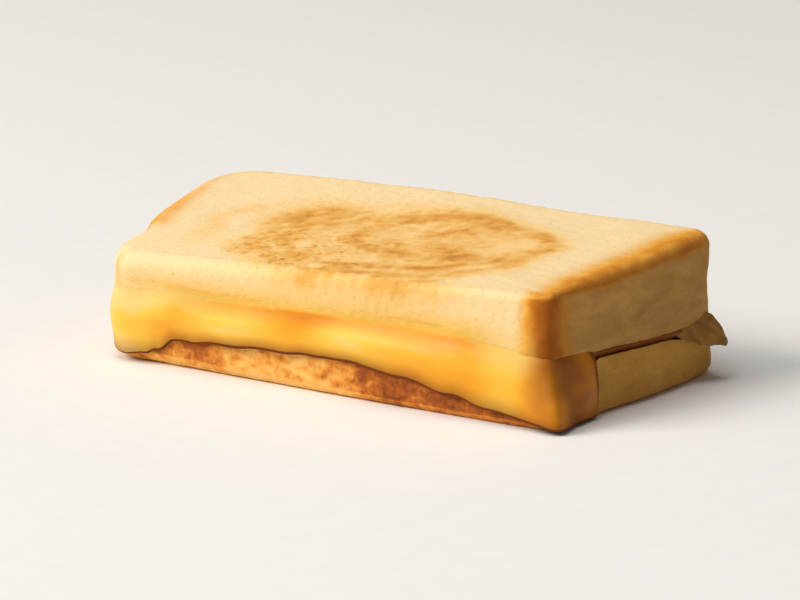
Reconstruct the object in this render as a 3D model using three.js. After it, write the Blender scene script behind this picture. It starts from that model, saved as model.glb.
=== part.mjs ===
// Half of a grilled cheese sandwich: two toasted half slices of a loaf, with melted cheese between them.
// The front, towards -Y, is the cut side, where the cheese has run out and hangs over the lower slice in
// one wavy sheet that turns the right-hand corner. The other sides are crust. +Z is up, in millimetres.
import * as THREE from "three";

// Driving dimensions.
const FRONT_LENGTH = 110; // cut side, between its two corners
const DEPTH = 61; // from the cut side to the back crust
const BACK_REACH = 17; // the back left corner stands this far past the front left one
const RIGHT_SKEW = 0.5; // the back right corner stands this far past the front right one
const TOP_HEIGHT = { frontLeft: 23, frontRight: 27, backRight: 30.2, backLeft: 30.4 };
const LOWER_HEIGHT = { frontLeft: 10.4, frontRight: 11.9, backRight: 9.4, backLeft: 10.2 };
const CHEESE_THICKNESS = 2.1;
const WAIST = 0.6; // how far a slice's side draws in at half its height
const GAP = 0.3; // clearance between neighbouring solids

// The outline's corners, counter-clockwise from the front left. Each rounding takes this length from a side.
const CORNERS = [
  { x: 0, y: 0, rounding: 6 },
  { x: FRONT_LENGTH, y: 0, rounding: 4 },
  { x: FRONT_LENGTH + RIGHT_SKEW, y: DEPTH, rounding: 5 },
  { x: -BACK_REACH, y: DEPTH + 1, rounding: 16 },
];
// How far each side bows out at its middle. The cut is nearly straight, and the left end bows the most.
const SIDES = [
  { bow: 0.4, steps: 30 },
  { bow: 0.8, steps: 22 },
  { bow: 1.0, steps: 18 },
  { bow: 1.6, steps: 14 },
];
const CORNER_STEPS = 4;
const CORNER_SHARE = 0.04; // a corner's share of each side that it joins, in the walk round the outline

// The point where the rounding of a corner meets the side that runs to another corner.
function roundingEnd(corner, other) {
  const at = new THREE.Vector2(corner.x, corner.y);
  const direction = new THREE.Vector2(other.x, other.y).sub(at).normalize();
  return at.addScaledVector(direction, corner.rounding);
}

// Where the line through a and b meets the line through c and d.
function crossing(a, b, c, d) {
  const ab = b.clone().sub(a);
  const cd = d.clone().sub(c);
  const share = c.clone().sub(a).cross(cd) / ab.cross(cd);
  return a.clone().addScaledVector(ab, share);
}

// The bowed side from one corner's rounding to the next one's.
const SIDE_CURVES = CORNERS.map((corner, i) => {
  const next = CORNERS[(i + 1) % 4];
  const start = roundingEnd(corner, next);
  const end = roundingEnd(next, corner);
  const outward = new THREE.Vector2(end.y - start.y, start.x - end.x).normalize();
  const lean = start.clone().add(end).multiplyScalar(0.5).addScaledVector(outward, 2 * SIDES[i].bow);
  return new THREE.QuadraticBezierCurve(start, lean, end);
});

// The rounding after each side, which leaves one side and meets the next without a kink.
const ROUND_CURVES = SIDE_CURVES.map((side, i) => {
  const next = SIDE_CURVES[(i + 1) % 4];
  const lean = crossing(side.v1, side.v2, next.v1, next.v0);
  return new THREE.QuadraticBezierCurve(side.v2, lean, next.v0);
});

// Stations round the outline. Each has its point and a walk number: 0 to 1 along the front, 1 to 2 along the
// right side, 2 to 3 along the back and 3 to 4 along the left end.
function walkOutline() {
  const stations = [];
  SIDES.forEach(({ steps }, i) => {
    for (let k = 0; k < steps; k++) {
      const t = k / steps;
      const walk = i + THREE.MathUtils.lerp(CORNER_SHARE, 1 - CORNER_SHARE, t);
      stations.push({ point: SIDE_CURVES[i].getPoint(t), walk });
    }
    for (let k = 0; k < CORNER_STEPS; k++) {
      const t = k / CORNER_STEPS;
      const walk = i + 1 + THREE.MathUtils.lerp(-CORNER_SHARE, CORNER_SHARE, t);
      stations.push({ point: ROUND_CURVES[i].getPoint(t), walk });
    }
  });
  return stations;
}

const STATIONS = walkOutline();
STATIONS.forEach((station, i) => {
  const before = STATIONS.at(i - 1).point;
  const after = STATIONS[(i + 1) % STATIONS.length].point;
  station.outward = new THREE.Vector2(after.y - before.y, before.x - after.x).normalize();
});
const MIDDLE = new THREE.Vector2((FRONT_LENGTH + RIGHT_SKEW - BACK_REACH) / 2, DEPTH / 2);

// A value that eases from key to key along the walk, which starts again at 4.
function along(walk, keys) {
  const last = keys.at(-1);
  const ring = [[last[0] - 4, last[1]], ...keys, [keys[0][0] + 4, keys[0][1]]];
  const place = walk % 4;
  const next = ring.findIndex(([at]) => at > place);
  const [from, low] = ring[next - 1];
  const [to, high] = ring[next];
  return THREE.MathUtils.lerp(low, high, THREE.MathUtils.smoothstep(place, from, to));
}

// Height of a face over a point: a plane twisted through four corner heights.
function twistedPlane(heights, { x, y }) {
  const right = x / FRONT_LENGTH;
  const front = THREE.MathUtils.lerp(heights.frontLeft, heights.frontRight, right);
  const rear = THREE.MathUtils.lerp(heights.backLeft, heights.backRight, right);
  return THREE.MathUtils.lerp(front, rear, y / DEPTH);
}
const topFace = (point) => twistedPlane(TOP_HEIGHT, point);
const lowerFace = (point) => twistedPlane(LOWER_HEIGHT, point);
const upperFace = (point) => lowerFace(point) + CHEESE_THICKNESS;
const tableFace = () => 0;

// How far each slice stands past the common outline, and the rounding of its edges, as pairs of a walk
// number and a length. The right side slants in towards the front. The left end, the loaf's top crust, is
// well rounded, and it has a dent just before the front left corner, which swells out past it.
const TOP_STANDS_OUT = [
  [0.1, 0.4], [0.9, -0.4], [0.95, -0.5], [1.06, -2.6], [1.3, -1.9], [1.6, -0.8], [1.9, 0], [3.5, 0],
  [3.75, -1.4], [3.93, 1],
];
const LOWER_STANDS_OUT = [
  [0.1, -0.9], [0.9, 0], [0.96, -0.3], [1.04, -1.8], [1.3, -0.9], [1.6, 0.1], [1.85, 0.8], [2.5, 0.5],
  [3.6, -0.5], [3.93, 1],
];
const TOASTED_EDGE = [[0.5, 2.5], [1.1, 1.7], [2.6, 2.1], [3.1, 3.8], [3.8, 4.2]];
const SEAM_EDGE = [[0, 1.1]];

// The cheese outside the slices: its upper edge above the seam, its lower edge above the table, and its
// thickness. It covers the middle of the cut side, hangs down furthest at the right-hand corner, turns it,
// and then is a bead in the seam, with a folded tab that sticks out near the back right corner.
const UPPER_EDGE_ABOVE_SEAM = [
  [0.03, 5.2], [0.12, 5.4], [0.3, 4.6], [0.5, 4.8], [0.82, 4.6], [0.96, 2.4], [1.04, 0.7],
  [1.78, 0.7], [1.88, 1.5], [1.97, 0.7], [3.85, 0.7],
];
const LOWER_EDGE = [
  [0.02, 1.2], [0.09, 1.8], [0.16, 4.1], [0.33, 5.6], [0.56, 5.6], [0.78, 2.8], [0.95, 0.5],
  [1.2, 0.5], [1.26, 9], [1.8, 7.6], [1.88, 6.6], [1.96, 7.6], [2.5, 8], [3.5, 8.2], [3.8, 8],
];
const CHEESE_STANDS_OUT = [
  [0.02, 1.2], [0.2, 2.1], [0.5, 2.4], [0.8, 2.6], [0.98, 3.0], [1.06, 3.6], [1.18, 2.4], [1.27, 0.9],
  [1.76, 0.9], [1.88, 6], [1.97, 1], [2.6, 0.9], [3.3, 1.5], [3.8, 0.9],
];
// Section of the hanging cheese from its upper edge to its lower one: share of the drop and the thickness.
const HANGING_SECTION = [[0.08, 0.45], [0.32, 0.8], [0.62, 1], [0.88, 0.8]];

// A point of a solid: a station's outline point moved outwards, at a height.
function outside({ point, outward }, distance, height) {
  return new THREE.Vector3(point.x + outward.x * distance, point.y + outward.y * distance, height);
}

// A point of a face inside the outline, shrunk towards the middle.
function inside({ point }, share, distance, outward, face, lift) {
  const rim = point.clone().addScaledVector(outward, distance);
  const flat = MIDDLE.clone().lerp(rim, share);
  return new THREE.Vector3(flat.x, flat.y, face(flat) + lift);
}
const FACE_RINGS = [0.5, 0.85];

// Joins rings of points, each with one point for each station, into a closed solid with a pole at each end.
// The rings run from the upper face's middle outwards, down the side and back to the lower face's middle.
function closedSolid(firstPole, rings, lastPole) {
  const count = STATIONS.length;
  const points = [firstPole, ...rings.flat(), lastPole];
  const last = points.length - 1;
  const faces = [];
  const at = (ring, station) => 1 + ring * count + (station % count);
  for (let k = 0; k < count; k++) {
    faces.push(0, at(0, k), at(0, k + 1));
    for (let r = 0; r + 1 < rings.length; r++) {
      faces.push(at(r, k), at(r + 1, k), at(r + 1, k + 1));
      faces.push(at(r, k), at(r + 1, k + 1), at(r, k + 1));
    }
    faces.push(last, at(rings.length - 1, k + 1), at(rings.length - 1, k));
  }
  const geometry = new THREE.BufferGeometry().setFromPoints(points);
  geometry.setIndex(faces);
  geometry.computeVertexNormals();
  return geometry;
}

// A slice between two faces, with its side standing out past the outline and drawn in at the waist, and its
// upper and lower edges rounded by a quarter of a circle.
function sliceGeometry(upper, lower, standsOut, upperEdge, lowerEdge) {
  const quarter = [0, 0.5, 1].map((t) => (t * Math.PI) / 2);
  const ring = (make) => STATIONS.map((s) => make(s, along(s.walk, standsOut), s.outward));
  const faceRing = (share, face, edge) =>
    ring((s, out, outward) => inside(s, share, out - along(s.walk, edge), outward, face, 0));
  const edgeRing = (face, edge, angle, up) =>
    ring((s, out, outward) => {
      const rounding = along(s.walk, edge);
      const rim = inside(s, 1, out - rounding, outward, face, 0);
      const distance = out - rounding * (1 - Math.sin(angle));
      return outside(s, distance, rim.z - up * rounding * (1 - Math.cos(angle)));
    });
  const waistRing = ring((s, out) => outside(s, out - WAIST, (upper(s.point) + lower(s.point)) / 2));
  const rings = [
    ...FACE_RINGS.map((share) => faceRing(share, upper, upperEdge)),
    ...quarter.map((angle) => edgeRing(upper, upperEdge, angle, 1)),
    waistRing,
    ...quarter.toReversed().map((angle) => edgeRing(lower, lowerEdge, angle, -1)),
    ...FACE_RINGS.toReversed().map((share) => faceRing(share, lower, lowerEdge)),
  ];
  const pole = (face) => new THREE.Vector3(MIDDLE.x, MIDDLE.y, face(MIDDLE));
  return closedSolid(pole(upper), rings, pole(lower));
}

// The cheese: a sheet between the slices that turns up and down over their sides where it has run out.
function cheeseGeometry() {
  const ring = (make) =>
    STATIONS.map((station) => {
      const { walk, point } = station;
      const seam = { top: upperFace(point) - GAP, base: lowerFace(point) + GAP };
      const edge = { top: seam.top + along(walk, UPPER_EDGE_ABOVE_SEAM), base: along(walk, LOWER_EDGE) };
      const wall = { top: along(walk, TOP_STANDS_OUT) + GAP, base: along(walk, LOWER_STANDS_OUT) + GAP };
      return make(station, seam, edge, wall);
    });
  const sheetRing = (share, face, lift) =>
    ring((s, seam, edge, wall) => inside(s, share, wall.top, s.outward, face, lift));
  const hangingRing = ([drop, share]) =>
    ring((s, seam, edge, wall) => {
      const behind = THREE.MathUtils.lerp(wall.top, wall.base, drop);
      const distance = behind + share * along(s.walk, CHEESE_STANDS_OUT);
      return outside(s, distance, THREE.MathUtils.lerp(edge.top, edge.base, drop));
    });
  const rings = [
    ...FACE_RINGS.map((share) => sheetRing(share, upperFace, -GAP)),
    ring((s, seam, edge, wall) => outside(s, wall.top, seam.top)),
    ring((s, seam, edge, wall) => outside(s, wall.top, edge.top)),
    ...HANGING_SECTION.map(hangingRing),
    ring((s, seam, edge, wall) => outside(s, wall.base, edge.base)),
    ring((s, seam, edge, wall) => outside(s, wall.base, seam.base)),
    ...FACE_RINGS.toReversed().map((share) => sheetRing(share, lowerFace, GAP)),
  ];
  const pole = (face, lift) => new THREE.Vector3(MIDDLE.x, MIDDLE.y, face(MIDDLE) + lift);
  return closedSolid(pole(upperFace, -GAP), rings, pole(lowerFace, GAP));
}

function piece(name, geometry, color, roughness) {
  const mesh = new THREE.Mesh(geometry, new THREE.MeshStandardMaterial({ color, roughness, metalness: 0 }));
  mesh.name = name;
  return mesh;
}

const topSlice = sliceGeometry(topFace, upperFace, TOP_STANDS_OUT, TOASTED_EDGE, SEAM_EDGE);
const lowerSlice = sliceGeometry(lowerFace, tableFace, LOWER_STANDS_OUT, SEAM_EDGE, TOASTED_EDGE);

const sandwich = new THREE.Group();
sandwich.add(
  piece("bread_top", topSlice, 0xf3d49a, 0.8),
  piece("cheese", cheeseGeometry(), 0xfcb637, 0.35),
  piece("bread_bottom", lowerSlice, 0xdb9a4a, 0.8),
);

// The origin is the middle of the base of the sandwich's box.
const box = new THREE.Box3().setFromObject(sandwich);
const centre = box.getCenter(new THREE.Vector3());
sandwich.position.set(-centre.x, -centre.y, -box.min.z);

export default sandwich;
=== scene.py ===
# %% [markdown]
# # Half of a grilled cheese sandwich
# Two toasted half slices of a sandwich loaf hold a layer of melted cheese. The long front side is the cut,
# where the cheese has run out and hangs down in one soft sheet. The CAD model fixes the size and the place
# of each piece. This lesson gives each piece its fine surface: pitted crumb, a toasted swirl, crust and
# melted cheese.

import bpy
import numpy as np
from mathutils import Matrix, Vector


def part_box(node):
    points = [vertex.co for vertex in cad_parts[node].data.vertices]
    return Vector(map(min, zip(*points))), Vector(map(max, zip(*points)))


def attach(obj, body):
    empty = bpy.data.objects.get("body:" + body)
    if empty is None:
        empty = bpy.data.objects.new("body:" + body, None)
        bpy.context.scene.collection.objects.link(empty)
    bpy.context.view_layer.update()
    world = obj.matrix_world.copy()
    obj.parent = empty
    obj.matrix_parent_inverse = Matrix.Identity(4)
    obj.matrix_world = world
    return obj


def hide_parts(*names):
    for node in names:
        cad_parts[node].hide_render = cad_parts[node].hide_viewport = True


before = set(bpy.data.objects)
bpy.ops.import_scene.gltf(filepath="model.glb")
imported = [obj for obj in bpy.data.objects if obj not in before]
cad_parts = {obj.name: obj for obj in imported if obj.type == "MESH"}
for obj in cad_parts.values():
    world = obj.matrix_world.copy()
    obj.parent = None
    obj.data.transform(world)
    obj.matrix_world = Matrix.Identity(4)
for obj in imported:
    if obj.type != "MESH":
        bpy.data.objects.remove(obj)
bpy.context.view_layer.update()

# %% [markdown]
# ## The outline that all three pieces share
# Seen from above, a half slice has a straight cut, two square corners and one domed end. It could be drawn
# as a curve by hand, but a walk round four bowed sides keeps every piece on the same stations. Each station
# has a walk number: 0 to 1 along the cut, 1 to 2 up the right side, 2 to 3 along the back and 3 to 4 down
# the left end.

# %% The walk round the outline
LENGTH, DEPTH = 110, 61  # of the cut and of the right side, in millimetres
CORNERS = np.array([[0, 0], [LENGTH, 0], [LENGTH + 0.5, DEPTH], [-17, DEPTH + 1]], float)
ROUNDING = np.array([6, 5, 5, 16], float)  # how much of a side each corner takes
BOW = np.array([0.4, 0.8, 1.0, 1.6])  # how far each side bows out
SIDE_STEPS = (220, 180, 170, 100)
CORNER_STEPS = 14
CORNER_SHARE = 0.04


def unit(v):
    """v divided by its own length."""
    return v / np.linalg.norm(v, axis=-1, keepdims=True)


def bend(a, b, c, t):
    """The quadratic curve (1-t)^2 a + 2t(1-t) b + t^2 c, from a to c, leaning on b."""
    t = t[:, None]
    return (1 - t) ** 2 * a + 2 * t * (1 - t) * b + t**2 * c


def crossing(a, b, c, d):
    """Where the line through a and b meets the line through c and d."""
    share = np.linalg.det([c - a, d - c]) / np.linalg.det([b - a, d - c])
    return a + share * (b - a)


after = np.roll(CORNERS, -1, axis=0)
along_side = unit(after - CORNERS)
start = CORNERS + along_side * ROUNDING[:, None]
end = after - along_side * np.roll(ROUNDING, -1)[:, None]
away = np.stack([along_side[:, 1], -along_side[:, 0]], 1)
lean = (start + end) / 2 + away * 2 * BOW[:, None]
points, walks = [], []
for i in range(4):
    n = (i + 1) % 4
    t = np.arange(SIDE_STEPS[i]) / SIDE_STEPS[i]
    points.append(bend(start[i], lean[i], end[i], t))
    walks.append(i + CORNER_SHARE + (1 - 2 * CORNER_SHARE) * t)
    t = np.arange(CORNER_STEPS) / CORNER_STEPS
    knee = crossing(lean[i], end[i], lean[n], start[n])
    points.append(bend(end[i], knee, start[n], t))
    walks.append(i + 1 + CORNER_SHARE * (2 * t - 1))
OUTLINE, WALK = np.concatenate(points), np.concatenate(walks)
ahead, behind = np.roll(OUTLINE, -1, axis=0), np.roll(OUTLINE, 1, axis=0)
OUTWARD = unit(np.stack([(ahead - behind)[:, 1], (behind - ahead)[:, 0]], 1))
MIDDLE = np.array([46.75, DEPTH / 2])
print("stations:", len(WALK), "outline in mm:", np.ptp(OUTLINE, axis=0).round(1))

# %% Values that change along the walk
def eased(keys, walk=WALK):
    """A value for each walk number: a smoothstep from key to key, and on from the last key to the first."""
    at, value = np.array(keys, float).T
    at = np.concatenate([[at[-1] - 4], at, [at[0] + 4]])
    value = np.concatenate([[value[-1]], value, [value[0]]])
    place = walk % 4
    k = np.searchsorted(at, place, side="right") - 1
    t = (place - at[k]) / (at[k + 1] - at[k])
    return value[k] + (value[k + 1] - value[k]) * t * t * (3 - 2 * t)


def step(low, high, value):
    """0 below low, 1 above high, and a smooth S between them."""
    t = np.clip((value - low) / (high - low), 0, 1)
    return t * t * (3 - 2 * t)


TOP_STANDS_OUT = eased([
    [0.1, 0.4], [0.9, -0.4], [0.95, -0.5], [1.06, -2.6], [1.3, -1.9], [1.6, -0.8], [1.9, 0], [3.5, 0],
    [3.75, -1.4], [3.93, 1],
])
LOWER_STANDS_OUT = eased([
    [0.1, -0.5], [0.9, 0], [0.96, -0.3], [1.04, -1.8], [1.3, -0.9], [1.6, 0.1], [1.85, 0.8], [2.5, 0.5],
    [3.6, -0.5], [3.93, 1],
])
TOASTED_EDGE = eased([
    [0.5, 2.4], [0.9, 1.7], [1.08, 1.7], [1.3, 2.6], [1.9, 2.7], [2.6, 2.1], [3.1, 3.8], [3.8, 4.2],
])
SEAM_EDGE = eased([[0.9, 1.1], [1.1, 0.5], [3.7, 0.5], [3.9, 1.1]])
WAIST = eased([[0.9, 0.1], [1.1, 0.4], [3.8, 0.5], [3.95, 0.1]])
CLOSED_SEAM = step(1.2, 1.25, WALK % 4) * (1 - step(3.85, 3.95, WALK % 4))
CLOSED_SEAM = CLOSED_SEAM * (1 - 0.9 * np.exp(-(((WALK - 1.79) / 0.07) ** 2)))
UPPER_EDGE_ABOVE_SEAM = eased([
    [0.03, 5.0], [0.1, 5.4], [0.2, 4.6], [0.28, 4.4], [0.38, 4.6], [0.5, 4.6], [0.64, 4.8], [0.8, 4.4],
    [0.88, 3.6], [0.965, 2.2], [1.03, 1.5], [1.2, 1.3], [1.25, 0.1], [3.8, 0.1], [3.9, 2.0],
])
LOWER_EDGE = eased([
    [0.02, 1.6], [0.07, 2.0], [0.1, 3.4], [0.14, 5.8], [0.18, 6.3], [0.26, 6.8], [0.36, 7.3], [0.45, 7.6],
    [0.55, 7.9], [0.66, 6.5], [0.78, 4.2], [0.88, 2.4], [0.96, 1.1], [1.0, 0.5], [1.04, 0.3], [1.205, 0.3],
    [1.235, 11.2], [1.5, 10.4], [1.97, 9.0], [2.5, 9.5], [3.2, 10.0], [3.8, 10.2],
])
print("toasted edge radius in mm:", TOASTED_EDGE.min().round(1), "to", TOASTED_EDGE.max().round(1))

# %% [markdown]
# ## Faces and unevenness
# Bread is never flat or even. Each face is a plane twisted through four corner heights, and a random field
# of soft bumps moves the surface in and out. A sculpting brush could do that too, but a sum of waves in
# random directions gives bumps of a known size in millimetres, the same in each run.

# %% The twisted faces and the random fields
def twisted(front_left, front_right, back_right, back_left):
    """A face's height: a straight blend along x of the corner heights, then along y."""

    def height(xy):
        """front + (rear - front) back, where front and rear blend the corners along x."""
        right, back = xy[..., 0] / LENGTH, xy[..., 1] / DEPTH
        front = front_left + (front_right - front_left) * right
        rear = back_left + (back_right - back_left) * right
        return front + (rear - front) * back

    return height


top_face = twisted(23, 27, 30.2, 30.4)
lower_face = twisted(10.4, 11.9, 9.4, 10.2)
CHEESE_THICKNESS = 2.1


def upper_face(xy):
    """The upper side of the cheese: the lower slice's upper face, raised by the cheese's thickness."""
    return lower_face(xy) + CHEESE_THICKNESS


def table_face(xy):
    """The table: height 0 at each point."""
    return np.zeros(xy.shape[:-1])


def clouds(p, size, seed, waves=22):
    """Soft random bumps about size mm across: the scaled sum of cosines of waves in random directions."""
    rng = np.random.default_rng(seed)
    direction = unit(rng.normal(size=(waves, p.shape[-1])))
    pace = 2 * np.pi / (size * rng.uniform(0.8, 1.7, waves))
    turn = rng.uniform(0, 2 * np.pi, waves)
    total = sum(np.cos(p @ d * k + a) for d, k, a in zip(direction, pace, turn))
    return total * np.sqrt(2 / waves)


MIX, BLOW_UP = np.array([127.1, 311.7, 74.7]), 43758.5453  # they make random shares of a cube's address


def pits(p, cell, radius, seed):
    """Round dents: one centre in each cube of side cell, (1 - (d / r)^2)^2 within its own radius r."""
    home = np.floor(p / cell)
    deepest = np.zeros(p.shape[:-1])
    for shift in np.ndindex(3, 3, 3):
        cube = home + np.array(shift) - 1
        mixed = cube @ MIX + seed
        strewn = [np.modf(np.abs(np.sin(mixed + k) * BLOW_UP))[0] for k in (0.0, 1.3, 2.6, 3.9)]
        centre = (cube + np.stack(strewn[:3], -1)) * cell
        size = radius * (0.35 + 0.65 * strewn[3] ** 2)
        near = ((p - centre) ** 2).sum(-1) / size**2
        deepest = np.maximum(deepest, np.clip(1 - near, 0, 1) ** 2 * size / radius)
    return deepest


def swell(p):
    """The broad unevenness that the slices and the cheese on them share, in mm."""
    return 0.12 * clouds(p, 36, 1) + 0.06 * clouds(p, 11, 2)


print("top face at the middle, mm:", float(top_face(MIDDLE)))

# %% [markdown]
# ## From rings to a closed skin
# Every piece is a stack of closed rings round the same stations, with a point at each end to close it.
# Rings are easier to control than a subdivided box, because a ring can follow the crust, the cut edge or
# the seam exactly.

# %% Mesh helpers
def normals(rings):
    """Unit normals of a ring grid: the cross product of its steps along the rings and across them."""
    across = np.gradient(rings, axis=0)
    along = np.roll(rings, -1, axis=1) - np.roll(rings, 1, axis=1)
    flat = np.cross(across, along)
    return flat / np.maximum(np.linalg.norm(flat, axis=-1, keepdims=True), 1e-9)


def closed_skin(name, rings, masks):
    """A mesh from rings (ring, station, xyz) in mm, with a pole at each end and masks as attributes."""
    count, around = rings.shape[:2]
    poles = np.stack([rings[0].mean(0), rings[-1].mean(0)])
    p = np.concatenate([rings.reshape(-1, 3), poles]) / 1000
    k = np.arange(around)
    n = (k + 1) % around
    r = np.arange(count - 1)[:, None] * around
    quads = np.stack([r + k, r + around + k, r + around + n, r + n], -1).reshape(-1, 4)
    first = np.stack([np.full(around, count * around), k, n], 1)
    base = (count - 1) * around
    last = np.stack([np.full(around, count * around + 1), base + n, base + k], 1)
    mesh = bpy.data.meshes.new(name)
    mesh.from_pydata(p.tolist(), [], quads.tolist() + first.tolist() + last.tolist())
    mesh.polygons.foreach_set("use_smooth", np.ones(len(mesh.polygons), bool))
    for mask, values in masks.items():
        full = np.concatenate([values.ravel(), [values[0].mean(), values[-1].mean()]])
        mesh.attributes.new(mask, "FLOAT", "POINT").data.foreach_set("value", full.astype(np.float32))
    piece = bpy.data.objects.new(name, mesh)
    bpy.context.scene.collection.objects.link(piece)
    print(name, "triangles:", 2 * len(quads) + 2 * around)
    return piece


def place_over(node, rings):
    """The move in plan, in mm, that centres the rings' box on the CAD node's box."""
    low, high = (np.array(c) * 1000 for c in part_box(node))
    middle = (rings.min((0, 1)) + rings.max((0, 1))) / 2
    return ((low + high) / 2 - middle) * np.array([1, 1, 0])


def slice_rings(upper, lower, stands_out, upper_edge, lower_edge, waist, counts):
    """Rings of a slice: out over the upper face, a quarter circle over each edge, a waisted side between.

    counts are the rings on the upper face, the upper edge, the side, the lower edge and the lower face.
    The second value says for each ring how far along its part it is, as 0 to 5 from pole to pole."""
    top, turn_in, side, turn_out, base = counts
    share, inset, drop, part = [], [], [], []

    def ring(s, i, z, v):
        """Adds a ring: its share of the way to the rim, its inset from it, its height and its part."""
        share.append(s + 0 * WALK)
        inset.append(i + 0 * WALK)
        drop.append(z)
        part.append(v)

    rim_top = upper(OUTLINE + OUTWARD * (stands_out - upper_edge)[:, None])
    rim_low = lower(OUTLINE + OUTWARD * (stands_out - lower_edge)[:, None])
    for t in np.arange(1, top + 1) / (top + 1):
        ring(t, -upper_edge, rim_top * 0 + np.nan, t)
    for t in np.arange(turn_in + 1) / turn_in:
        a = t * np.pi / 2
        ring(1, -upper_edge * (1 - np.sin(a)), rim_top - upper_edge * (1 - np.cos(a)), 1 + t)
    for t in np.arange(1, side) / side:
        z = (rim_top - upper_edge) * (1 - t) + (rim_low + lower_edge) * t
        ring(1, -waist * np.sin(np.pi * t) ** 2, z, 2 + t)
    for t in np.arange(turn_out + 1) / turn_out:
        a = (1 - t) * np.pi / 2
        ring(1, -lower_edge * (1 - np.sin(a)), rim_low + lower_edge * (1 - np.cos(a)), 3 + t)
    for t in np.arange(base, 0, -1) / (base + 1):
        ring(t, -lower_edge, rim_low * 0 + np.inf, 5 - t)
    share, inset, drop = np.array(share), np.array(inset), np.array(drop)
    rim = OUTLINE + OUTWARD * (stands_out + inset)[..., None]
    xy = MIDDLE + (rim - MIDDLE) * share[..., None]
    z = np.where(np.isnan(drop), upper(xy), np.where(np.isinf(drop), lower(xy), drop))
    return np.concatenate([xy, z[..., None]], -1), np.array(part)[:, None] + 0 * WALK


# %% [markdown]
# ## The top slice
# This is white sandwich bread, toasted in butter. Its upper face carries a swirl of darker toasting, its
# cut side is pale crumb full of small pits, and its other sides are soft golden crust. The swirl is a set
# of arcs worked out in plan and kept as an attribute, because it is too large and too particular for a
# plain noise texture.

# %% The top slice's rings and relief
top_rings, top_part = slice_rings(
    top_face, upper_face, TOP_STANDS_OUT, TOASTED_EDGE, SEAM_EDGE, WAIST, (56, 12, 32, 6, 5)
)
shift = place_over("bread_top", top_rings)
top_rings = top_rings + shift
corner_x, cut_y = shift[0] + CORNERS[1, 0], shift[1]


def cut_mask(rings, crust=5.5):
    """1 on the cut side's crumb, 0 on crust: the crust shows as a band this thick at the cut's right end."""
    walk = np.broadcast_to(WALK % 4, rings.shape[:2])
    right = 1 - step(corner_x - crust - 1.5, corner_x - crust + 1.5, rings[..., 0])
    return np.where(walk < 2, step(-0.03, 0.03, walk) * right * (walk < 1.05), step(3.93, 3.99, walk))


CUT = cut_mask(top_rings)
print("crumb covers this share of the stations:", CUT[-20].mean().round(2))


def on_face(part):
    """1 on the slice's toasted face, 0 on its side."""
    return 1 - step(1.1, 1.8, part)


def lips(part, seam):
    """How much a slice's rim bends into the seam: 1 at the seam on the crust sides."""
    return CLOSED_SEAM * np.exp(-(((part - seam) / 0.45) ** 2))


def bread_relief(rings, cut):
    """How far bread stands out, in mm: broad swells, fine grain, and pits on the crumb of the cut."""
    grain = 0.03 * clouds(rings, 2.6, 3) + 0.022 * clouds(rings, 1.4, 4)
    holes = pits(rings, 3.0, 1.2, 5) + 0.6 * pits(rings, 1.9, 0.8, 6)
    return swell(rings) + grain - holes * (0.05 + 0.13 * cut)


crumb = CUT * (1 - on_face(top_part))
cheese_edge = upper_face(OUTLINE) + UPPER_EDGE_ABOVE_SEAM
covered = step(1.6, 3.0, cheese_edge - top_rings[..., 2]) * (1 - CLOSED_SEAM) * (1 - on_face(top_part))
top_relief = bread_relief(top_rings, crumb) - 0.7 * covered
hidden = step(3.2, 4.0, top_part)
top_rings = top_rings + normals(top_rings) * (top_relief * (1 - hidden))[..., None]
top_rings[..., 2] -= 1.25 * lips(top_part, 3.3)
print("top slice relief in mm:", top_relief.min().round(2), "to", top_relief.max().round(2))

# %% The toasted swirl, the crust and the stain as masks
SWIRL_LINES = [
    # centre, radii, line width, strength, then the direction of the line's middle and its half spread
    ((3.0, 9.0), (7.5, 6.5), 2.4, 0.32, 10, 95),
    ((9.0, -1.5), (19.0, 15.5), 3.2, 0.42, 100, 65),
    ((7.0, 2.0), (15.5, 15.0), 2.4, 0.4, 245, 55),
    ((12.0, -5.0), (24.5, 20.5), 2.8, 0.42, 22, 62),
    ((19.5, -10.5), (2.5, 1.5), 3.2, 0.5, 0, 200),
    ((4.0, -4.0), (28.0, 19.0), 1.6, 0.38, 305, 55),
    ((4.0, -4.0), (32.0, 24.5), 1.8, 0.32, 300, 60),
    ((4.0, -4.0), (33.0, 25.0), 2.6, 0.34, 212, 40),
    ((4.0, -4.0), (26.0, 18.5), 1.7, 0.28, 220, 40),
    ((4.0, -4.0), (36.0, 28.0), 2.0, 0.3, 285, 42),
    ((4.0, -4.0), (46.0, 31.0), 2.4, 0.24, 180, 30),
    ((4.0, -4.0), (40.0, 27.0), 2.6, 0.22, 225, 22),
]


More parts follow.
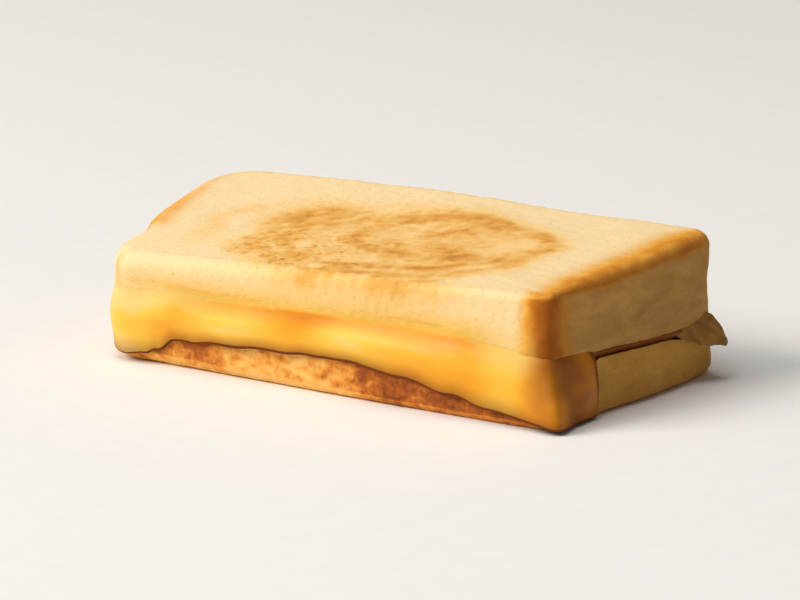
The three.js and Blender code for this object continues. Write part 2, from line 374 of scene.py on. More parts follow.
def swirl(x, y):
    """Toasting from 0 to 1: soft wandering arcs exp(-(distance / width)^2), on a patchy golden ground."""
    flat = np.stack([x, y], -1)
    wander = np.stack([clouds(flat, 17, 11), clouds(flat, 17, 12)], -1) * 0.9
    wander += np.stack([clouds(flat, 5, 13), clouds(flat, 5, 14)], -1) * 0.4
    patch = 0.5 + 0.25 * clouds(flat, 9, 15) + 0.2 * clouds(flat, 3.6, 16)
    toast = 0 * x
    for centre, radii, width, strength, middle, spread in SWIRL_LINES:
        p = (flat + wander - centre) / radii
        reach, angle = np.hypot(p[..., 0], p[..., 1]), np.arctan2(p[..., 1], p[..., 0])
        line = np.exp(-(((reach - 1) * min(radii) / width) ** 2))
        off_middle = np.degrees(np.angle(np.exp(1j * (angle - np.radians(middle)))))
        line = line * np.exp(-((off_middle / spread) ** 4))
        toast = np.maximum(toast, strength * line * np.clip(0.8 + 0.4 * patch, 0, 1.2))
    p = (flat + wander - (4.0, -6.0)) / (36.0, 29.0)
    reach = np.hypot(p[..., 0], p[..., 1])
    inside = 1 - step(0.7, 1.15, reach)
    strokes = 0.5 + 0.5 * np.cos(2 * np.pi * (reach * 23.5 / 3.2 + 0.25 * clouds(flat, 8, 17)))
    left_patch = np.exp(-(((x + 25) / 8) ** 2) - ((y - 6) / 9) ** 2)
    heart = np.exp(-(((x - 15) / 10) ** 2) - ((y + 1) / 11) ** 2)
    right_gap = np.exp(-(((x - 27) / 4) ** 2) - (y / 11) ** 2)
    light_spot = np.exp(-(((x - 3) / 5) ** 2) - ((y - 9) / 4) ** 2)
    front_edge = step(-16, -4, x) * (1 - step(28, 42, x)) * (1 - step(-29, -24, y))
    inside = np.maximum(inside, 0.9 * front_edge)
    ground = 0.22 + 0.14 * strokes * patch + 0.1 * patch + 0.1 * heart - 0.12 * right_gap - 0.1 * light_spot
    return np.clip(0.85 * toast + inside * ground + 0.46 * left_patch * (0.8 + 0.5 * patch), 0, 1)


def amber_stretch(x):
    """1 along the stretch of the cut where cheese has stained the crumb, 0 at the cut's two ends."""
    return step(-46, -20, x) * (1 - step(36, 48, x))


def corner_band(rings, from_x=11.5):
    """1 on the crust at the front right corner, partly crust edge and partly painted shade where the lit cut
    turns into the shaded side: it starts on the cut and fades along the side.
    """
    x, y = rings[..., 0], rings[..., 1]
    across = 0.86 * step(corner_x - from_x, corner_x - from_x + 7, x)
    across = across + 0.14 * step(corner_x - 6, corner_x, x)
    across = across * (1 + 0.04 * clouds(rings, 4, 20) + 0.16 * (1 - step(14, 22, rings[..., 2])))
    return np.clip(across * (1 - step(cut_y - 1, cut_y + 14, y)), 0, 1)


x, y, z = top_rings.transpose(2, 0, 1)
reach_in = (1 - np.clip(top_part, 0, 1)) * ((OUTLINE - MIDDLE) * OUTWARD).sum(-1)
rim_width = eased([[0.9, 1.0], [1.05, 5.5], [1.9, 5.5], [2.1, 1.6], [2.9, 1.6], [3.15, 3.5], [3.85, 3.5]])
rim_strength = eased([[0.03, 0.0], [0.9, 0.0], [0.97, 0.6], [1.9, 0.6], [2.1, 0.12], [2.9, 0.12],
                      [3.15, 0.3], [3.4, 0.38], [3.6, 0.38], [3.85, 0.0]])
rim = rim_strength * np.exp(-((np.abs(reach_in) / rim_width) ** 1.5)) * (1 + 0.06 * clouds(top_rings, 5, 18))
rim_end = top_part + 0.02 * clouds(top_rings, 6, 19)
rim = rim * (1 - step(1.75, 2.15, rim_end))
masks = {
    "toasting": swirl(x, y) * (1 - step(1.8, 2.6, top_part)),
    "freckles": step(-34, -24, x) * (1 - step(-4, 12, x)) * (1 - step(-12, 2, y)) * on_face(top_part),
    # rim also carries the corner band: crust edge and painted shade at the front right corner.
    "rim": np.maximum(rim, corner_band(top_rings) * (1 - on_face(top_part))),
    "crust": (1 - on_face(top_part)) * (1 - CUT),
    "stain": (0.5 + 0.5 * amber_stretch(x)) * crumb * (1 - 0.85 * step(-1.5, 4.5, z - cheese_edge)),
}
bread_top = closed_skin("toasted_top_slice", top_rings, masks)
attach(bread_top, "root")
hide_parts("bread_top")

# %% [markdown]
# ## The lower slice
# It is the same bread, but it lies under the cheese: what shows at the cut is a strip of crumb that has
# fried golden brown in butter. So it is built in the same way, with its toasted face downwards and most of
# its rings on the side and the base.

# %% The lower slice
lower_rings, lower_part = slice_rings(
    lower_face, table_face, LOWER_STANDS_OUT, SEAM_EDGE, TOASTED_EDGE, 0.7 * WAIST, (6, 6, 34, 14, 24)
)
lower_rings = lower_rings + place_over("bread_bottom", lower_rings)
lower_cut = cut_mask(lower_rings)
below = step(3.2, 4.0, lower_part)
grain = 0.05 * clouds(lower_rings, 2.4, 23) + 0.035 * clouds(lower_rings, 1.3, 24)
holes = pits(lower_rings, 3.2, 1.4, 25) + 0.5 * pits(lower_rings, 1.8, 0.8, 26)
lower_relief = (swell(lower_rings) + grain) * (1 - below) - holes * (0.06 + 0.2 * lower_cut * (1 - below))
lower_relief = lower_relief * step(0.9, 1.6, lower_part)
under_sheet = step(0.8, 2.0, lower_rings[..., 2] - LOWER_EDGE)
under_sheet = under_sheet * (1 - CLOSED_SEAM) * step(0.6, 1.2, lower_part)
lower_relief -= 0.9 * under_sheet
lower_rings = lower_rings + normals(lower_rings) * lower_relief[..., None]
lower_rings[..., 2] += 0.85 * lips(lower_part, 1.6)
lower_rings[..., 2] = np.maximum(lower_rings[..., 2], 0.0)
x, y, z = lower_rings.transpose(2, 0, 1)
drawn_out = lower_rings * [0.5, 0.5, 1]
fried = 0.3 + 0.06 * clouds(lower_rings, 11, 27) + 0.06 * clouds(drawn_out, 2.0, 28)
fried += 0.25 * (1 - step(-30, -10, x)) + 0.5 * step(0, 24, x)
masks = {
    "toasting": np.clip(np.where(lower_part > 3.2, 0.7, 1.0) * fried * np.maximum(below, lower_cut), 0, 1),
    "freckles": 0.3 * lower_cut * (1 - below),
    "rim": step(2.75, 3.05, lower_part) * (1 - step(3.9, 4.2, lower_part)) * (0.16 - 0.1 * lower_cut),
    "crust": (1 - below) * (1 - lower_cut),
    "stain": 0 * x,
}
bread_bottom = closed_skin("toasted_lower_slice", lower_rings, masks)
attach(bread_bottom, "root")
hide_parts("bread_bottom")

# %% [markdown]
# ## The melted cheese
# The sheet between the slices has run out at the cut. It clings to the upper slice in a thin film, swells
# into lobes, and ends in a rounded lip that hangs over the lower slice. At the right-hand corner it runs
# down to the table and turns on to the side. A fluid simulation would be slow and hard to steer, so a
# section is carried round the outline: film, swelling and lip, with its heights and thickness eased from
# key to key.

# %% The cheese's section round the outline
CHEESE_STANDS_OUT = eased([
    [0.02, 1.0], [0.2, 1.4], [0.5, 1.6], [0.8, 1.8], [0.92, 1.6], [0.97, 1.8], [1.03, 2.6], [1.08, 2.2],
    [1.205, 1.2], [1.24, -0.5], [1.7, -0.5], [1.78, -1.7], [1.86, -1.5], [1.94, -0.4], [3.5, -0.4],
    [3.8, -0.2], [3.9, 0.4],
])
SUNK = eased([[0.05, 0.25], [0.8, 0.25], [0.9, 0.7], [3.95, 0.7]])  # how deep the film starts in the bread
PROUD = 0.06  # how far the film stands out
HANGING, LIP, UNDER = 60, 12, 5  # rings down the sheet, round its lip and under it
seam_top = upper_face(OUTLINE) - 0.05
seam_low = lower_face(OUTLINE) + 0.05
waver = np.stack([OUTLINE[:, 0], OUTLINE[:, 1], 0 * WALK], 1)
edge_top = seam_top + UPPER_EDGE_ABOVE_SEAM * (1 + 0.05 * clouds(waver, 9, 31)) + 0.1
edge_low = LOWER_EDGE + 0.12 * clouds(waver, 6, 33) * (LOWER_EDGE > 0.8)
lip = np.clip(0.5 * CHEESE_STANDS_OUT, 0.12, 0.95)
turned = step(0.85, 1.0, WALK % 4) * (WALK % 4 < 3)  # 1 from the front right corner on


def cheese_section():
    """Rings of the cheese: a flat top, a film, the hanging sheet, a quarter circle and a flat base.

    The sheet stands out from a wall that blends the two slices, by CHEESE_STANDS_OUT times its swelling.
    drop is 0 to 1 down the sheet, less before it and more past it."""
    out, height, share, drop = [], [], [], []

    def ring(o, z, s, d):
        """Adds a ring: distance from the outline, height, share of the way to the rim, and drop."""
        out.append(o)
        height.append(z)
        share.append(np.full_like(WALK, s))
        drop.append(np.full_like(WALK, d))

    for s in (0.5, 0.9):
        ring(TOP_STANDS_OUT - 1.2, seam_top, s, -1)
    ring(TOP_STANDS_OUT - 1.2, seam_top, 1, -1)
    ring(TOP_STANDS_OUT - 1.0, (seam_top + edge_top) / 2, 1, -1)
    for d in np.linspace(0, 1, HANGING):
        film = step(0, 0.2, d) * step(0, 0.4, CHEESE_STANDS_OUT)
        swelling = 0.2 * step(0.1, 0.35, d) + 0.8 * step(0.15, 0.62, d) - 0.12 * step(0.75, 1.0, d)
        swelling = swelling * (1 - turned) + turned * step(0.1, 1.05, d)
        settled = (1 - turned) * step(0.2, 1, d) + turned * step(0, 0.3, d)
        wall = TOP_STANDS_OUT + (LOWER_STANDS_OUT - TOP_STANDS_OUT) * settled
        z = edge_top + (edge_low + lip - edge_top) * d
        ring(wall - SUNK * (1 - film) + PROUD * film + CHEESE_STANDS_OUT * swelling, z, 1, d)
    outermost = out[-1]
    for a in np.linspace(0, np.pi / 2, LIP + 1)[1:]:
        ring(outermost - lip * (1 - np.cos(a)), edge_low + lip * (1 - np.sin(a)), 1, 1 + a)
    for t in np.linspace(0, 1, UNDER + 1)[1:]:
        o = (outermost - lip) * (1 - t) + (LOWER_STANDS_OUT - 0.6) * t
        ring(o, edge_low + 0.5 * t**2, 1, 2.6 + t)
    ring(LOWER_STANDS_OUT - 1.4, (seam_low + edge_low) / 2, 1, 4)
    for s in (1, 0.9, 0.5):
        ring(LOWER_STANDS_OUT - 1.5, seam_low, s, 4)
    return np.array(out), np.array(height), np.array(share), np.array(drop)


out, height, share, drop = cheese_section()
rim = OUTLINE + OUTWARD * out[..., None]
xy = MIDDLE + (rim - MIDDLE) * share[..., None]
cheese_rings = np.concatenate([xy, height[..., None]], -1) + shift
print("cheese lip radius in mm:", lip.min().round(2), "to", lip.max().round(2))

# %% Lobes, hollows and the tone of the cheese
def lobe(x0, z0, width, high, tilt=0.0):
    """exp(-(x/width)^2 - (z/high)^2) about a spot of the cut side; tilt leans it along x."""
    dx, dz = cheese_rings[..., 0] - x0, cheese_rings[..., 2] - z0
    dz = dz - tilt * dx
    return np.exp(-((dx / width) ** 2) - (dz / high) ** 2)


walk_grid = np.broadcast_to(WALK % 4, drop.shape)
x, y, z = cheese_rings.transpose(2, 0, 1)
front = np.where(walk_grid < 2, 1 - step(corner_x - 10, corner_x - 3, x), step(3.9, 3.98, walk_grid))
shown = step(0.02, 0.15, drop) * (1 - step(2.0, 2.6, drop))
left_lobe, right_lobe = lobe(-21, 11.2, 12, 2.4), lobe(20, 12.2, 17, 2.8, -0.04)
hollow = lobe(-1, 13.5, 6, 3.0, 0.2)
relief = front * (0.45 * left_lobe + 0.75 * right_lobe - 0.4 * hollow)
relief += 0.12 * clouds(cheese_rings * [0.6, 0.6, 1], 9, 34)
skin = normals(cheese_rings) * (relief * shown + swell(cheese_rings) * (drop >= 0))[..., None]
flare = np.exp(-(((x - corner_x) / 3.6) ** 2) - ((y - cut_y) / 3.6) ** 2)
flare = flare * (1 - step(5, 15, z)) * (drop >= 0)
cheese_rings = cheese_rings + skin + flare[..., None] * np.array([1.9, -1.9, 0])
cheese_rings[..., 2] = np.maximum(cheese_rings[..., 2], 0.08)
x, y, z = cheese_rings.transpose(2, 0, 1)
# The tone is partly the cheese's own colour and partly painted light: it is lighter on the swollen lobes as
# painted highlight and darker in the hollow as painted shade. The band just under the upper slice is darker
# as thinner cheese and as painted shade in the groove there. The cut's right end is lighter as paler thin
# cheese with a painted highlight on its ridge.
band = np.exp(-(((z - 15.8) / 1.6) ** 2)) * step(-38, -8, x) * (1 - step(36, 47, x))
tone = 0.58 + 0.32 * left_lobe + 0.24 * right_lobe - 0.14 * hollow - 0.24 * band
tone += (0.26 + 0.1 * step(9, 16, z)) * (1 - step(-46, -32, x)) + 0.24 * step(38, 48, x)
tone -= 0.1 * step(22, 36, x) * (1 - step(38, 46, x)) * (1 - step(12, 16, z))
tone += 0.05 * clouds(cheese_rings * [0.5, 0.5, 1], 9, 36)
side_tone = 0.3 - 0.22 * step(cut_y, cut_y + 6, y) + 0.04 * clouds(cheese_rings, 6, 37)
tone = tone * front + (1 - front) * side_tone
# Painted shade, partly cheese turned brown: the narrow dark line at the drape's end stands for its contact
# shadow, and the darker underside of the lip (drop past 0.7) for the shadow line under the hanging sheet.
drape_end = np.exp(-(((walk_grid - 1.218) / 0.012) ** 2)) * (drop > 0)
browned_and_shade = np.maximum(step(0.7, 1.2, drop), drape_end)
# Near the front right corner the cheese is darker, more so higher up: partly cheese turned brown, partly
# painted shade where the cut turns into the shaded side. At the foot of the left end it is also a little
# darker.
at_corner = step(corner_x - 10, corner_x - 3, x) * (1 - step(cut_y + 4, cut_y + 14, y))
browned_and_shade = np.maximum(browned_and_shade, at_corner * (0.34 + 0.24 * step(3, 13, z)))
browned_and_shade = np.maximum(browned_and_shade, 0.14 * (1 - step(-54, -46, x)) * (1 - step(1, 6, z)))
amber = amber_stretch(x)
masks = {
    "tone": np.clip(tone, 0, 1),
    "film": front * (1 - step(0.08, 0.2 + 0.3 * (1 - amber), drop)) * (0.5 + 0.5 * amber),
    "pale": front * (1 - step(0.08, 0.5, drop)) * (1 - amber) * (0.6 + 0.4 * (x < 0)),
    # Painted shade with cheese turned brown: the thin bead in the seam along the sides and the back is
    # darkened as the shadow in the seam.
    "browned_and_shade": np.clip(np.maximum(browned_and_shade, 0.8 * step(1.22, 1.25, walk_grid) * (walk_grid < 3.85)), 0, 1),
}
cheese = closed_skin("melted_cheese", cheese_rings, masks)
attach(cheese, "root")
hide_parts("cheese")

# %% [markdown]
# ## The browned fold of cheese
# Near the back right corner a scrap of the cheese has been squeezed out of the seam and has set as a thin,
# drooping flap. It is a flattened tube: a thin ellipse that narrows to a point and droops along its way
# out.

# %% The fold
FOLD_LENGTH = 5.6  # out of the wall, in millimetres
ROOT_WIDTH, TIP_WIDTH = 7.4, 2.0  # half widths along the seam
FOLD_THICKNESS = 1.0
FOLD_DROOP = 4.2  # how far the tip hangs below the root
ROOT_DEPTH = 0.4  # how far inside the wall the root starts
FOLD_FROM_BACK, FOLD_HEIGHT = 12.2, 12.2  # the middle of the root
FOLD_SWEEP = 5.4  # how much nearer the back the tip is than the root
wall_x, back_y = (float(v) * 1000 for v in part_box("bread_top")[1].xy)
t = np.linspace(1, -0.5, 60)[1:-1, None]
a = np.linspace(0, 2 * np.pi, 84, endpoint=False)[None, :]
out_t = np.clip(t, 0, 1)
taper = np.sqrt(np.clip(1 - np.abs((t - 0.25) / 0.75) ** 6, 0, 1))
half = (ROOT_WIDTH + (TIP_WIDTH - ROOT_WIDTH) * out_t) * taper
fold_x = wall_x - ROOT_DEPTH + t * FOLD_LENGTH + 0 * a
across = half * np.cos(a)
flap_y = back_y - FOLD_FROM_BACK + FOLD_SWEEP * out_t**0.7 + across + 0.1 * np.sin(6 * t) * np.cos(a)
flap_z = FOLD_HEIGHT - FOLD_DROOP * out_t
flap_z = flap_z + 1.0 * (1 - out_t) * step(0.2, 1, np.cos(a)) * step(-0.1, 0.1, t)
flap_z = flap_z - 1.2 * np.sin(np.pi * out_t**0.6) * (1 - np.cos(a)) / 2
flap_z = flap_z + 0.1 * out_t * np.sin(across * 1.2 + 3 * t)
flap_z = flap_z + FOLD_THICKNESS * (0.5 + 0.5 * taper) * np.sin(a)
fold_rings = np.stack([fold_x, flap_y, flap_z], -1)
fold_rings += normals(fold_rings) * (0.09 * clouds(fold_rings, 2.4, 41))[..., None]
fold = closed_skin("cheese_fold", fold_rings, {
    "tone": 0.4 + 0.2 * clouds(fold_rings, 3.0, 42),
    "film": 0 * fold_x,
    "pale": 0 * fold_x,
    "browned_and_shade": np.clip(0.1 + 0.4 * np.abs(np.cos(a)) ** 8 * (1 - out_t) + 0.3 * step(0.8, 1, t), 0, 1),
})
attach(fold, "root")
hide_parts("cheese")

# %% [markdown]
# ## Materials
# Bread and cheese get procedural node materials. Noise and Voronoi textures read Object coordinates, so a
# scale of 1000 / s gives features of about s millimetres. The large patterns come from the attributes made
# above.

# %% Helpers for materials
def colour(code):
    """Linear red, green, blue and alpha from an sRGB hex code."""
    c = np.array([int(code[i : i + 2], 16) for i in (0, 2, 4)]) / 255
    return (*np.where(c <= 0.04045, c / 12.92, ((c + 0.055) / 1.055) ** 2.4), 1.0)


def add(tree, kind, settings=None, links=None, stops=None, **options):
    """Adds a node: options are its properties, settings its socket values, links its sockets' sources.

    stops are a colour ramp's places and colours: the outermost two first, then those between."""
    node = tree.nodes.new("ShaderNode" + kind)
    for key, value in options.items():
        setattr(node, key, value)
    for key, value in (settings or {}).items():
        node.inputs[key].default_value = value
    for key, source in (links or {}).items():
        tree.links.new(source, node.inputs[key])
    for k, (at, code) in enumerate(stops or []):
        ramp = node.color_ramp.elements
        stop = ramp[k] if k < 2 else ramp.new(at)
        stop.position, stop.color = at, colour(code)
    return node


def fresh_material(name):
    """An empty node material and its tree."""
    material = bpy.data.materials.new(name)
    material.use_nodes = True
    material.node_tree.nodes.clear()
    return material, material.node_tree


def per_mm(size):
    """The texture scale that gives features of this size in mm, for Object coordinates in metres."""
    return 1000.0 / size


# %% [markdown]
# ### Toasted white bread
# Soft wheat crumb is cream, matt and full of pores. Butter and heat turn it gold and then brown, and make
# it a little shinier. Crust is the same bread, dried and browned in the oven. So one network serves both
# slices: crumb, then toasting, then rim and crust, then pores, and only the colours differ.

# %% The bread network
def toasted_bread(name, toast_stops, rim_stops, rim_on_crust, crust_stops, stain_code, pore_depth):
    """Crumb that toasts along one ramp, turns to crust and rim along two others, and takes a stain."""
    material, tree = fresh_material(name)
    place = add(tree, "TexCoord").outputs["Object"]
    names = ("toasting", "freckles", "rim", "crust", "stain")
    mask = {n: add(tree, "Attribute", attribute_name=n).outputs["Fac"] for n in names}
    mottle = add(tree, "TexNoise", {"Scale": per_mm(4.0), "Detail": 5.0, "Roughness": 0.62},
                 {"Vector": place})
    strokes = add(tree, "TexNoise",
                  {"Scale": per_mm(1.6), "Detail": 3.0, "Roughness": 0.6, "Distortion": 0.5},
                  {"Vector": place})
    streaks_at = add(tree, "Mapping", {"Scale": (0.35, 0.35, 1.0)}, {"Vector": place})
    streaks = add(tree, "TexNoise",
                  {"Scale": per_mm(4.0), "Detail": 5.0, "Roughness": 0.6, "Distortion": 0.6},
                  {"Vector": streaks_at.outputs[0]})
    pull = add(tree, "TexNoise", {"Scale": per_mm(1.2), "Detail": 2.0}, {"Vector": place})
    pulled = add(tree, "VectorMath", {1: (0.0012, 0.0012, 0.0012)}, {0: pull.outputs["Color"], 2: place},
                 operation="MULTIPLY_ADD")
    pores = add(tree, "TexVoronoi", {"Scale": per_mm(1.7), "Randomness": 1.0}, {"Vector": pulled.outputs[0]})
    pore = add(tree, "MapRange", {"From Min": 0.1, "From Max": 0.3, "To Min": 1.0, "To Max": 0.0},
               {"Value": pores.outputs["Distance"]}, interpolation_type="SMOOTHSTEP")
    # Toasting: the mask, broken up by mottling and short strokes, with darker freckles where it is patchy.
    broken = add(tree, "Math", {1: 0.7, 2: 0.15}, {0: mottle.outputs["Fac"]}, operation="MULTIPLY_ADD")
    stroke = add(tree, "Math", {1: 0.9, 2: 0.05}, {0: strokes.outputs["Fac"]}, operation="MULTIPLY_ADD")
    both = add(tree, "Math", {}, {0: broken.outputs[0], 1: stroke.outputs[0]}, operation="ADD")
    toast = add(tree, "Math", {}, {0: mask["toasting"], 1: both.outputs[0]}, operation="MULTIPLY")
    spots = add(tree, "MapRange", {"From Min": 0.53, "From Max": 0.68, "To Min": 0.0, "To Max": 0.28},
                {"Value": strokes.outputs["Fac"]})
    toast = add(tree, "Math", {}, {0: mask["freckles"], 1: spots.outputs[0], 2: toast.outputs[0]},
                operation="MULTIPLY_ADD", use_clamp=True)
    crumb = add(tree, "ValToRGB", {}, {"Fac": toast.outputs[0]}, stops=toast_stops)
    # Crust: soft streaks along the loaf, and a rim from gold to brown where the toasted face meets the side.
    crust = add(tree, "ValToRGB", {}, {"Fac": streaks.outputs["Fac"]}, stops=crust_stops)
    sided = add(tree, "Mix", {}, {0: mask["crust"], 6: crumb.outputs[0], 7: crust.outputs[0]},
                data_type="RGBA")
    uneven = add(tree, "MapRange", {"From Min": 0.3, "From Max": 0.7, "To Min": 0.9, "To Max": 1.1},
                 {"Value": mottle.outputs["Fac"]})
    rim = add(tree, "Math", {}, {0: mask["rim"], 1: uneven.outputs[0]}, operation="MULTIPLY", use_clamp=True)
    rim_colour = add(tree, "ValToRGB", {}, {"Fac": rim.outputs[0]}, stops=rim_stops)
    deep = add(tree, "Math", {1: 0.6}, {0: mask["crust"]}, operation="MULTIPLY")
    rim_deep = add(tree, "Mix", {7: colour(rim_on_crust)}, {0: deep.outputs[0], 6: rim_colour.outputs[0]},
                   data_type="RGBA")
    rim_share = add(tree, "MapRange", {"From Max": 0.5}, {"Value": rim.outputs[0]},
                    interpolation_type="SMOOTHSTEP")
    rimmed = add(tree, "Mix", {}, {0: rim_share.outputs[0], 6: sided.outputs[2], 7: rim_deep.outputs[2]},
                 data_type="RGBA")
    stained = add(tree, "Mix", {7: colour(stain_code)}, {0: mask["stain"], 6: rimmed.outputs[2]},
                  data_type="RGBA")
    # Pores: a little browner than the bread round them.
    pore_amount = add(tree, "Math", {1: pore_depth}, {0: pore.outputs[0]}, operation="MULTIPLY")
    darker = add(tree, "Mix", {0: 1.0, 7: colour("DDB67E")}, {6: stained.outputs[2]}, data_type="RGBA",
                 blend_type="MULTIPLY")
    pored = add(tree, "Mix", {}, {0: pore_amount.outputs[0], 6: stained.outputs[2], 7: darker.outputs[2]},
                data_type="RGBA")
    fine = add(tree, "TexNoise", {"Scale": per_mm(0.6), "Detail": 3.0}, {"Vector": place})
    relief = add(tree, "Math", {1: -0.6}, {0: pore.outputs[0], 2: fine.outputs["Fac"]},
                 operation="MULTIPLY_ADD")
    bump = add(tree, "Bump", {"Strength": 0.3, "Distance": 0.0003}, {"Height": relief.outputs[0]})
    rough = add(tree, "MapRange", {"To Min": 0.86, "To Max": 0.6}, {"Value": toast.outputs[0]})
    shader = add(tree, "BsdfPrincipled", {"IOR": 1.45, "Subsurface Weight": 0.1, "Subsurface Scale": 0.001,
                 "Subsurface Radius": (1.0, 0.55, 0.25), "Specular IOR Level": 0.3},
                 {"Base Color": pored.outputs[2], "Roughness": rough.outputs[0], "Normal": bump.outputs[0]})
    add(tree, "OutputMaterial", {}, {"Surface": shader.outputs[0]})
    return material


CHEESE_STAIN = "F1BF55"
bread_top.data.materials.append(toasted_bread(
    "toasted_white_bread",
    toast_stops=[(0.0, "FDDFAA"), (1.0, "C88736"), (0.25, "FDD086"), (0.5, "F0B45A"), (0.75, "DE9A42")],
    rim_stops=[(0.0, "EBAF54"), (1.0, "8E4600"), (0.45, "F2AC40"), (0.75, "C4700E")],
    rim_on_crust="A25A10",
    crust_stops=[(0.25, "A87638"), (0.75, "CE9C56")],
    stain_code=CHEESE_STAIN,
    pore_depth=0.12,
))
bread_bottom.data.materials.append(toasted_bread(
    "fried_white_bread",
    toast_stops=[(0.0, "FDD38C"), (1.0, "7E380A"), (0.3, "FBBE60"), (0.45, "E8963A"), (0.66, "B8621C")],
    rim_stops=[(0.0, "D9933F"), (1.0, "8A4A14"), (0.5, "BC7426")],
    rim_on_crust="A8701E",
    crust_stops=[(0.25, "B68034"), (0.75, "D09C4A")],
    stain_code=CHEESE_STAIN,
    pore_depth=0.3,
))
print("nodes in the bread network:", len(bread_top.data.materials[0].node_tree.nodes))

# %% [markdown]
# ### Melted cheese
# Melted cheddar is smooth, glossy with fat and a little translucent. Where it is thick it is bright yellow
# orange, where it is thin or has been in the heat it turns amber and then brown. Its tone also carries
# painted highlight on the swollen lobes and painted shade in the hollow and under the upper slice, and
# the dark brown also paints the shadow lines under the lip, in the seam and at the front right corner.
# Subsurface scattering gives the glow, and a middling roughness the soft sheen of fat.

# %% The cheese network
def melted_cheese(name, tones, browned_and_shade_code):
    """Cheese with its tone from a ramp, mixed by its masks with pale and stained colours and with a dark
    brown that stands for browning and for painted shade.
    """
    material, tree = fresh_material(name)
    place = add(tree, "TexCoord").outputs["Object"]
    names = ("tone", "film", "pale", "browned_and_shade")
    mask = {n: add(tree, "Attribute", attribute_name=n).outputs["Fac"] for n in names}
    drift_at = add(tree, "Mapping", {"Scale": (0.4, 0.4, 1.0)}, {"Vector": place})
    drift = add(tree, "TexNoise",
                {"Scale": per_mm(4.0), "Detail": 4.0, "Roughness": 0.55, "Distortion": 0.8},
                {"Vector": drift_at.outputs[0]})
    shade = add(tree, "Math", {1: 0.24, 2: -0.12}, {0: drift.outputs["Fac"]}, operation="MULTIPLY_ADD")
    tone = add(tree, "Math", {}, {0: mask["tone"], 1: shade.outputs[0]}, operation="ADD", use_clamp=True)
    body = add(tree, "ValToRGB", {}, {"Fac": tone.outputs[0]}, stops=tones)
    pale = add(tree, "Mix", {7: colour("FBDA9A")}, {0: mask["pale"], 6: body.outputs[0]}, data_type="RGBA")
    film = add(tree, "Mix", {7: colour(CHEESE_STAIN)}, {0: mask["film"], 6: pale.outputs[2]},
               data_type="RGBA")
    # The dark brown is browning and also painted shade: the shadow lines under the lip, in the seam and at
    # the drape's end, and the darker front right corner.
    browned_and_shade = add(tree, "Mix", {7: colour(browned_and_shade_code)}, {0: mask["browned_and_shade"], 6: film.outputs[2]},
                  data_type="RGBA")
    dimples = add(tree, "TexNoise", {"Scale": per_mm(1.6), "Detail": 2.0}, {"Vector": place})
    bump = add(tree, "Bump", {"Strength": 0.12, "Distance": 0.0003}, {"Height": dimples.outputs["Fac"]})
    gloss = add(tree, "MapRange", {"From Min": 0.3, "From Max": 0.7, "To Min": 0.38, "To Max": 0.52},
                {"Value": drift.outputs["Fac"]})
    thin = add(tree, "Math", {}, {0: mask["film"], 1: mask["pale"]}, operation="ADD")
    dry = add(tree, "Math", {}, {0: thin.outputs[0], 1: mask["browned_and_shade"]}, operation="MAXIMUM")
    rough = add(tree, "Math", {1: 0.4}, {0: dry.outputs[0], 2: gloss.outputs[0]}, operation="MULTIPLY_ADD")
    shader = add(tree, "BsdfPrincipled", {"IOR": 1.45, "Subsurface Weight": 0.15, "Subsurface Scale": 0.003,
                 "Subsurface Radius": (0.8, 0.6, 0.2), "Specular IOR Level": 0.35},
                 {"Base Color": browned_and_shade.outputs[2], "Roughness": rough.outputs[0],
                  "Normal": bump.outputs[0]})
    add(tree, "OutputMaterial", {}, {"Surface": shader.outputs[0]})
    return material


cheese.data.materials.append(melted_cheese(
    "melted_cheddar",
    tones=[(0.0, "AC6412"), (1.0, "FBDA9A"), (0.3, "E9920A"), (0.55, "FBAE24"), (0.8, "FFCA48")],
    # 723400: brown for cheese turned brown, and also for the painted shadow lines and corner shade.
    browned_and_shade_code="723400",
))
fold.data.materials.append(melted_cheese(
    "browned_cheddar", tones=[(0.0, "946224"), (1.0, "BC883C")], browned_and_shade_code="5E3A16",
))
print("nodes in the cheese network:", len(cheese.data.materials[0].node_tree.nodes))

# %% [markdown]
# ## Stage, light and camera
# A plain pale floor, one large soft light from the front left, and a weak pale surround keep the crust side
# in shade, so that the cut and the toasted face stand out.

# %% Floor
FLOOR_RADIUS, FLOOR_SIDES = 4, 64  # metres, and the sides of its polygon
floor_mesh = bpy.data.meshes.new("floor")
floor_turn = np.linspace(0, 2 * np.pi, FLOOR_SIDES, endpoint=False)
floor_rim = [(FLOOR_RADIUS * np.cos(a), FLOOR_RADIUS * np.sin(a), 0.0) for a in floor_turn]
floor_mesh.from_pydata(floor_rim, [], [tuple(range(FLOOR_SIDES))])
floor = bpy.data.objects.new("floor", floor_mesh)
bpy.context.scene.collection.objects.link(floor)
paper, tree = fresh_material("pale_paper")
fibres = add(tree, "TexNoise", {"Scale": per_mm(6.0), "Detail": 3.0},
             {"Vector": add(tree, "TexCoord").outputs["Object"]})
tint = add(tree, "ValToRGB", {}, {"Fac": fibres.outputs["Fac"]}, stops=[(0.3, "F8F7F4"), (0.7, "FAF9F6")])
matt = add(tree, "BsdfPrincipled", {"Roughness": 0.9}, {"Base Color": tint.outputs[0]})
add(tree, "OutputMaterial", {}, {"Surface": matt.outputs[0]})
floor_mesh.materials.append(paper)
print("floor radius in m:", FLOOR_RADIUS)

# %% Lights
LIGHTS_AIM = Vector((0, 0, 0.015))  # metres: half way up the sandwich


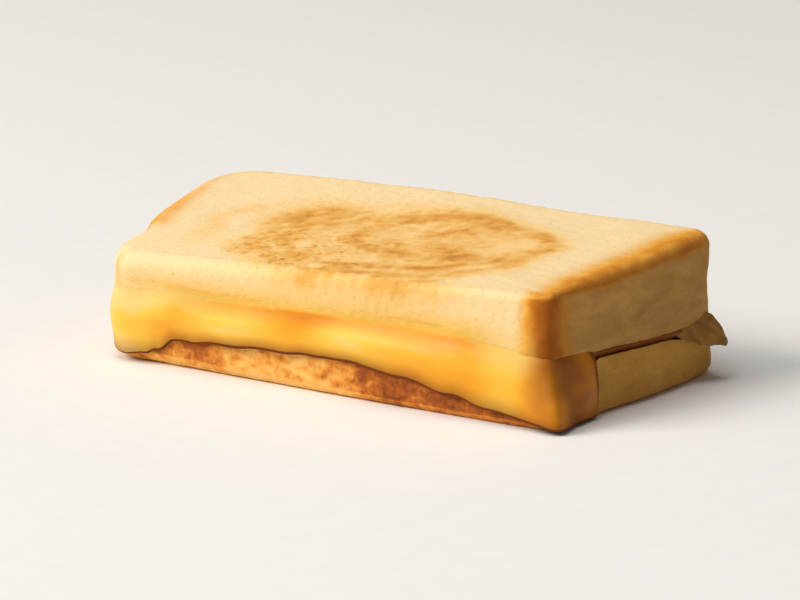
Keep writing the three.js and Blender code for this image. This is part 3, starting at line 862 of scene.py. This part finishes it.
def softbox(name, azimuth, elevation, distance, size, power, code="FFFFFF"):
    """A square area light that looks at the sandwich from an azimuth and elevation in degrees."""
    light = bpy.data.lights.new(name, "AREA")
    light.energy, light.size, light.color = power, size, colour(code)[:3]
    lamp = bpy.data.objects.new(name, light)
    bpy.context.scene.collection.objects.link(lamp)
    az, el = np.radians([azimuth, elevation])
    back = Vector((np.sin(az) * np.cos(el), -np.cos(az) * np.cos(el), np.sin(el)))
    lamp.location = LIGHTS_AIM + back * distance
    lamp.rotation_euler = back.to_track_quat("Z", "Y").to_euler()
    return lamp


softbox("key", azimuth=-38, elevation=38, distance=2.4, size=1.3, power=46, code="FFF9F0")
softbox("overhead", azimuth=-30, elevation=78, distance=2.4, size=1.6, power=23)
world = bpy.data.worlds.new("pale_surround")
world.use_nodes = True
world.node_tree.nodes["Background"].inputs["Color"].default_value = colour("F4F1EC")
world.node_tree.nodes["Background"].inputs["Strength"].default_value = 0.17
bpy.context.scene.world = world
bpy.context.scene.view_settings.view_transform = "Standard"
print("light power in W:", [light.energy for light in bpy.data.lights])

# %% Camera
CAMERA_AZIMUTH, CAMERA_ELEVATION, CAMERA_DISTANCE = np.radians(34.3), np.radians(13.04), 0.8157
CAMERA_AIM = Vector((0.001, 0, 0.0135))  # metres
LENS, SENSOR = 176.8, 36  # millimetres
back = Vector((np.sin(CAMERA_AZIMUTH) * np.cos(CAMERA_ELEVATION),
               -np.cos(CAMERA_AZIMUTH) * np.cos(CAMERA_ELEVATION), np.sin(CAMERA_ELEVATION)))
camera_data = bpy.data.cameras.new("camera")
camera_data.lens, camera_data.sensor_width = LENS, SENSOR
camera_data.clip_start, camera_data.clip_end = 0.05, 20
camera = bpy.data.objects.new("camera", camera_data)
bpy.context.scene.collection.objects.link(camera)
camera.location = CAMERA_AIM + back * CAMERA_DISTANCE
camera.rotation_mode = "QUATERNION"
camera.rotation_quaternion = back.to_track_quat("Z", "Y")
bpy.context.scene.camera = camera
print("camera at, in m:", [round(v, 3) for v in camera.location])
